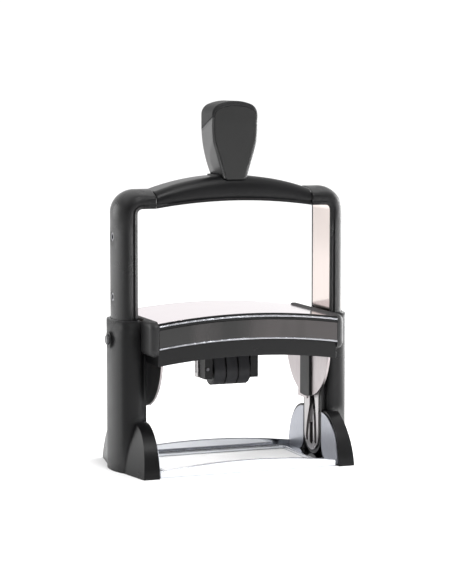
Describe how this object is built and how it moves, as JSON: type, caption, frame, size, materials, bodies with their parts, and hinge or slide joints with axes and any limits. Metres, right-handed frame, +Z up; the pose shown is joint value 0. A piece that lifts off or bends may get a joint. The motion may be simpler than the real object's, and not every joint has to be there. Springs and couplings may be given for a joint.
{
  "type": "self-inking date stamp",
  "caption": "Heavy-duty self-inking date stamp: a sprung handle frame slides in twin columns and flips the die carrier with its date bands from the ink pad down to the paper.",
  "frame": {"origin": "centre of the base on the paper", "axes": "+Z up, +X to the right, -Y to the front"},
  "size_m": [0.189, 0.0986, 0.2689],
  "materials": {
    "black_casing": "satin moulded black plastic with a fine grain",
    "knob_face": "flat dark grey moulded panel, bare",
    "polished_steel": "polished steel",
    "satin_nickel": "satin nickel-plated steel",
    "brushed_plate": "brushed sheet steel",
    "bright_steel": "plain turned steel",
    "bush_plastic": "low-friction plastic",
    "bush_brass": "turned brass",
    "smoked_window": "smoked clear plastic with a gloss face",
    "card": "blank grey index card",
    "dark_plastic": "moulded black plastic",
    "button_plastic": "grey plastic button",
    "die_rubber": "laser-cut stamp rubber",
    "band_rubber": "moulded rubber date band",
    "ink_felt": "felt soaked with ink"
  },
  "bodies": {
    "base": {"base_frame": "polished_steel", "base_screws": "bright_steel", "left_column_casing": "black_casing", "right_column_casing": "black_casing", "left_fin_plates": "satin_nickel", "right_fin_plates": "satin_nickel", "left_guide_rail": "black_casing", "right_guide_rail": "black_casing", "left_cam_plate": "brushed_plate", "right_cam_plate": "brushed_plate", "left_guide_bush": "bush_plastic", "right_guide_bush": "bush_plastic", "left_spring_rod": "bright_steel", "right_spring_rod": "bright_steel", "left_return_spring": "bright_steel", "right_return_spring": "bright_steel", "pad_housing": "black_casing", "housing_top_plate": "polished_steel", "left_end_cap": "black_casing", "right_end_cap": "black_casing", "label_window": "smoked_window", "label_card": "card", "upper_trim_strip": "polished_steel", "lower_trim_strip": "polished_steel"},
    "handle": {"handle_bridge": "black_casing", "left_leg_cover": "black_casing", "right_leg_cover": "black_casing", "inner_strap": "polished_steel", "left_lock_eyelets": "polished_steel", "right_lock_eyelets": "polished_steel", "left_trunnion_bush": "bush_brass", "right_trunnion_bush": "bush_brass", "knob_body": "black_casing", "knob_cap": "black_casing", "knob_front_panel": "knob_face", "knob_rear_panel": "knob_face", "knob_screw": "bright_steel"},
    "die": {"die_carrier": "dark_plastic", "text_plate": "die_rubber", "left_trunnion": "bright_steel", "right_trunnion": "bright_steel", "left_end_shield": "brushed_plate", "right_end_shield": "brushed_plate", "turning_levers": "dark_plastic", "turning_pins": "bright_steel", "date_heads": "dark_plastic", "date_side_plates": "brushed_plate", "date_axle": "bright_steel", "detent_pin": "bright_steel", "type_bar": "dark_plastic", "day_band": "band_rubber", "month_band": "band_rubber", "year_band": "band_rubber"},
    "pad_cartridge": {"pad_tray": "black_casing", "ink_pad": "ink_felt"},
    "left_lock": {"left_lock_button": "button_plastic"},
    "right_lock": {"right_lock_button": "button_plastic"},
    "day_setting": {"day_wheel": "dark_plastic"},
    "month_setting": {"month_wheel": "dark_plastic"},
    "year_setting": {"year_wheel": "dark_plastic"}
  },
  "joints": [
    {"name": "handle_stroke", "type": "slide", "parent": "base", "child": "handle", "axis": [0, 0, -1], "range_m": [0, 0.075], "stiffness_N_per_m": 300, "springref_m": -0.04, "deforming": ["left_return_spring", "right_return_spring"]},
    {"name": "die_flip", "type": "hinge", "parent": "handle", "child": "die", "pos_m": [0, 0, 0.0875], "axis": [1, 0, 0], "range_deg": [0, 180]},
    {"name": "pad_slide", "type": "slide", "parent": "base", "child": "pad_cartridge", "axis": [0, 1, 0], "range_m": [0, 0.086]},
    {"name": "left_lock_press", "type": "slide", "parent": "base", "child": "left_lock", "axis": [1, 0, 0], "range_m": [0, 0.0019], "stiffness_N_per_m": 600, "springref_m": -0.002},
    {"name": "right_lock_press", "type": "slide", "parent": "base", "child": "right_lock", "axis": [-1, 0, 0], "range_m": [0, 0.0019], "stiffness_N_per_m": 600, "springref_m": -0.002},
    {"name": "day_set", "type": "hinge", "parent": "die", "child": "day_setting", "pos_m": [0, 0, 0.0695], "axis": [1, 0, 0], "continuous": true},
    {"name": "month_set", "type": "hinge", "parent": "die", "child": "month_setting", "pos_m": [0, 0, 0.0695], "axis": [1, 0, 0], "continuous": true},
    {"name": "year_set", "type": "hinge", "parent": "die", "child": "year_setting", "pos_m": [0, 0, 0.0695], "axis": [1, 0, 0], "continuous": true}
  ],
  "couplings": [
    {"joint": "die_flip", "follows": "handle_stroke", "rad_per_m": 41.888}
  ]
}
